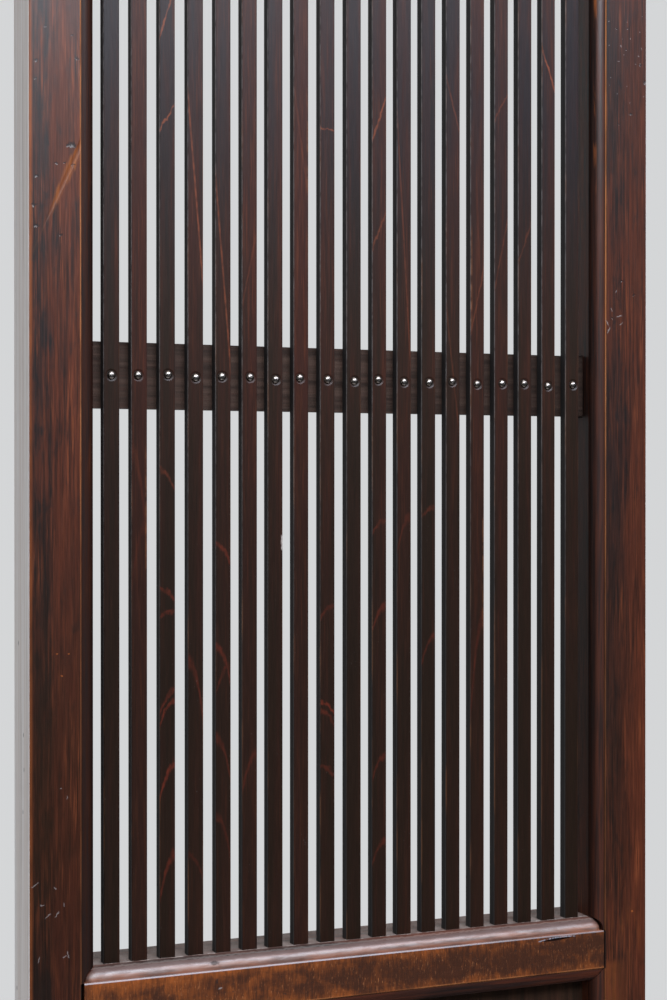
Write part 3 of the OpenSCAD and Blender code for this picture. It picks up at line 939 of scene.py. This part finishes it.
class LATTICE_OT_slats(Operator):
    """Finishes the nineteen slats, each with its own depth of stain"""

    bl_idname = "lattice_door.slats"
    bl_label = "Finish Slats"

    def execute(self, context):
        finish = context.scene.door_wood
        for index in SLATS:
            dress(slat_name(index), slat_wood(index, finish))
        return {"FINISHED"}


class LATTICE_OT_batten(Operator):
    """Finishes the batten behind the slats"""

    bl_idname = "lattice_door.batten"
    bl_label = "Finish Batten"

    def execute(self, context):
        finish = context.scene.door_wood
        colours = (finish.batten_dark, finish.batten_light, finish.red_slat)
        # The batten gets painted shade towards the door's right
        dress("batten", plain_wood("batten_stain", "X", colours, 61.0, 0.16, 0.5))
        return {"FINISHED"}


class LATTICE_OT_panel(Operator):
    """Finishes the panel under the middle rail"""

    bl_idname = "lattice_door.panel"
    bl_label = "Finish Panel"

    def execute(self, context):
        finish = context.scene.door_wood
        colours = (finish.panel_dark, finish.panel_light, finish.red_slat)
        dress("lower_panel", plain_wood("panel_stain", "Z", colours, 83.0, 0.2))
        return {"FINISHED"}


def nail_places():
    """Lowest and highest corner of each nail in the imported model, by slat."""
    middles = [slat_middle(index) for index in SLATS]
    nails = [[] for _ in middles]
    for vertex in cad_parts["slat_nails"].data.vertices:
        nearest = min(range(len(middles)), key=lambda i: abs(vertex.co.x - middles[i]))
        nails[nearest].append(vertex.co)
    places = []
    for points in nails:
        low = Vector([min(point[axis] for point in points) for axis in range(3)])
        high = Vector([max(point[axis] for point in points) for axis in range(3)])
        places.append((low, high))
    return places


def extrude(rise):
    """Extrudes the selected faces along Z."""
    bpy.ops.mesh.extrude_region_move(TRANSFORM_OT_translate={"value": (0.0, 0.0, rise)})


def forge_nail(form, head_radius, whole_length):
    """One nail along Z, with the underside of its hammered head at the origin."""
    bpy.ops.object.select_all(action="DESELECT")
    bpy.ops.mesh.primitive_circle_add(vertices=form.sides, radius=head_radius, fill_type="NGON")
    nail = bpy.context.object
    bpy.ops.object.mode_set(mode="EDIT")
    bpy.ops.mesh.select_mode(type="FACE")
    bpy.ops.mesh.select_all(action="SELECT")
    extrude(form.rim)
    rings = 6
    last_angle = math.acos(form.flat)
    width, level = 1.0, 0.0
    for ring in range(1, rings + 1):
        angle = last_angle * ring / rings
        rise = math.sin(angle) / math.sin(last_angle)
        step = (rise - level) * (form.head_height - form.rim)
        extrude(step)
        narrow = math.cos(angle) / width
        bpy.ops.transform.resize(value=(narrow, narrow, 1.0))
        width, level = math.cos(angle), rise
    bpy.ops.object.mode_set(mode="OBJECT")
    for face in nail.data.polygons:
        face.select = abs(face.center.z) < 1e-6 and abs(face.normal.z) > 0.99
    bpy.ops.object.mode_set(mode="EDIT")
    bpy.ops.mesh.inset(thickness=head_radius - form.shank_width / 2)
    extrude(form.head_height - whole_length)
    bpy.ops.transform.resize(value=(POINT_WIDTH, POINT_WIDTH, 1.0))
    bpy.ops.mesh.select_all(action="SELECT")
    bpy.ops.mesh.normals_make_consistent(inside=False)
    bpy.ops.object.mode_set(mode="OBJECT")
    return nail


def batter(nail, seed):
    """Leaves the head of a nail a little uneven, as a hammer does."""
    bpy.ops.object.select_all(action="DESELECT")
    bpy.context.view_layer.objects.active = nail
    nail.select_set(True)
    for vertex in nail.data.vertices:
        vertex.select = vertex.co.z > DOME_FOOT
    bpy.ops.object.mode_set(mode="EDIT")
    bpy.ops.mesh.select_mode(type="VERT")
    bpy.ops.transform.vertex_random(offset=HAMMERED, seed=seed)
    bpy.ops.object.mode_set(mode="OBJECT")


class LATTICE_OT_nails(Operator):
    """Forges a nail and drives a battered copy of it through each slat"""

    bl_idname = "lattice_door.nails"
    bl_label = "Make Nails"

    def execute(self, context):
        form = context.scene.door_nails
        steel = nail_metal(form)
        places = nail_places()
        low, high = places[0]
        pattern = forge_nail(form, (high.x - low.x) / 2 - HAMMERED, high.y - low.y)
        for index, (low, high) in enumerate(places, 1):
            nail = pattern.copy()
            nail.data = pattern.data.copy()
            nail.name = f"nail_{index:02d}"
            context.scene.collection.objects.link(nail)
            batter(nail, index)
            nail.rotation_euler = (math.pi / 2, 0.0, 0.0)
            middle = (low + high) / 2
            nail.location = (middle.x, low.y + form.head_height + HAMMERED, middle.z)
            bpy.ops.object.transform_apply(location=True, rotation=True, scale=False)
            bpy.ops.object.shade_smooth_by_angle(angle=math.radians(40.0))
            nail.data.materials.append(steel)
            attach(nail, "root")
            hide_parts("slat_nails")
        bpy.data.objects.remove(pattern)
        return {"FINISHED"}


def soft_box(name, spot, aim, width, height, radiance, colour=(0.94, 0.96, 1.0)):
    """Rectangular lamp at a place, turned to a point, with the brightness of its face."""
    lamp = bpy.data.lights.new(name, "AREA")
    lamp.shape = "RECTANGLE"
    lamp.size = width
    lamp.size_y = height
    lamp.energy = radiance * math.pi * width * height
    lamp.color = colour
    holder = bpy.data.objects.new(name, lamp)
    bpy.context.scene.collection.objects.link(holder)
    holder.location = spot
    holder.rotation_euler = (Vector(aim) - Vector(spot)).to_track_quat("-Z", "Y").to_euler()
    holder.visible_camera = False


class LATTICE_OT_stage(Operator):
    """Sets the camera, the floor, the lamps and the pale backdrop"""

    bl_idname = "lattice_door.stage"
    bl_label = "Set Stage"

    def execute(self, context):
        studio = context.scene.door_studio
        self.set_camera(context.scene, studio)
        self.lay_floor(studio)
        self.light_world(context.scene, studio)
        soft_box("front_box", (-0.15, -2.6, 2.75), (0.0, 0.0, 1.3), 2.8, 0.9, 9.6, (0.86, 0.92, 1.0))
        soft_box("brow_box", (0.85, -2.35, 3.0), (0.2, 0.0, 0.9), 2.6, 0.9, 9.8, (0.85, 0.85, 1.0))
        soft_box("left_box", (-2.6, 0.2, 1.4), (0.0, 0.0, 1.2), 2.4, 2.2, 1.1)
        soft_box("top_box", (0.2, 0.0, 3.7), (0.0, 0.0, 1.0), 2.4, 1.6, 3.4)
        soft_box("back_box", (0.6, 2.8, 2.9), (0.0, 0.0, 1.1), 2.4, 1.4, 2.0)
        context.scene.view_settings.view_transform = "Standard"
        return {"FINISHED"}

    def set_camera(self, scene, studio):
        """Camera at the photographed view."""
        data = bpy.data.cameras.new("photo_camera")
        data.lens = studio.lens
        data.sensor_width = 36.0
        camera = bpy.data.objects.new("photo_camera", data)
        scene.collection.objects.link(camera)
        camera.location = studio.camera_spot
        camera.rotation_euler = (math.pi / 2 - studio.camera_dip, 0.0, -studio.camera_turn)
        scene.camera = camera

    def lay_floor(self, studio):
        """Pale round floor whose rim fades into the backdrop."""
        bpy.ops.object.select_all(action="DESELECT")
        bpy.ops.mesh.primitive_circle_add(vertices=96, radius=studio.floor_radius, fill_type="TRIFAN")
        floor = bpy.context.object
        floor.name = "floor"
        material, graph = new_material("floor_paint")
        board = Board(graph, "X", 0.0)
        away = graph.operate("SQRT", board.x * board.x + board.y * board.y)
        fade = away.ramp(studio.floor_radius, studio.floor_radius * 0.3)
        graph.surface(
            {"Base Color": studio.floor_colour, "Roughness": 0.8, "Alpha": fade, "Specular IOR Level": 0.2}
        )
        floor.data.materials.append(material)

    def light_world(self, scene, studio):
        """Pale backdrop for the camera, and a soft dome, dim near the floor, for the door."""
        world = bpy.data.worlds.new("studio")
        scene.world = world
        world.use_nodes = True
        graph = Graph(world.node_tree)
        ray = graph.node("ShaderNodeTexCoord", output="Generated")
        split = graph.split(ray)
        path = graph.node("ShaderNodeLightPath")
        behind = split.out("Y").ramp(0.05, 0.45)
        pale = path.out("Is Camera Ray").most(path.out("Is Transmission Ray"))
        pale = pale.most(path.out("Is Glossy Ray") * behind * 0.5)
        lift = split.out("Z").ramp(-0.05, 0.85) * (studio.sky - studio.low) + studio.low
        dome = graph.node("ShaderNodeBackground", None, {"Color": (0.98, 0.99, 1.0), "Strength": lift})
        backdrop = graph.node("ShaderNodeBackground", None, {"Color": studio.backdrop, "Strength": 1.0})
        both = graph.node("ShaderNodeMixShader", None, {0: pale, 1: dome, 2: backdrop})
        graph.node("ShaderNodeOutputWorld", None, {"Surface": both})


class LATTICE_PT_dresser(Panel):
    """Lists the steps that dress the door"""

    bl_idname = "LATTICE_PT_dresser"
    bl_label = "Lattice Door"
    bl_space_type = "VIEW_3D"
    bl_region_type = "UI"
    bl_category = "Lattice Door"

    def draw(self, context):
        for step in STEPS:
            self.layout.operator(step.bl_idname)
        for group in (context.scene.door_wood, context.scene.door_nails, context.scene.door_studio):
            column = self.layout.column()
            for name in group.__annotations__:
                column.prop(group, name)


STEPS = (
    LATTICE_OT_stage,
    LATTICE_OT_stiles,
    LATTICE_OT_rails,
    LATTICE_OT_slats,
    LATTICE_OT_batten,
    LATTICE_OT_panel,
    LATTICE_OT_nails,
)
CLASSES = (WoodFinish, NailForm, Studio, *STEPS, LATTICE_PT_dresser)


def register():
    for made in CLASSES:
        bpy.utils.register_class(made)
    bpy.types.Scene.door_wood = PointerProperty(type=WoodFinish)
    bpy.types.Scene.door_nails = PointerProperty(type=NailForm)
    bpy.types.Scene.door_studio = PointerProperty(type=Studio)


def unregister():
    del bpy.types.Scene.door_studio
    del bpy.types.Scene.door_nails
    del bpy.types.Scene.door_wood
    for made in reversed(CLASSES):
        bpy.utils.unregister_class(made)


def main():
    register()
    bpy.ops.lattice_door.stage()
    bpy.ops.lattice_door.stiles()
    bpy.ops.lattice_door.rails()
    bpy.ops.lattice_door.slats()
    bpy.ops.lattice_door.batten()
    bpy.ops.lattice_door.panel()
    bpy.ops.lattice_door.nails()


if __name__ == "__main__":
    main()
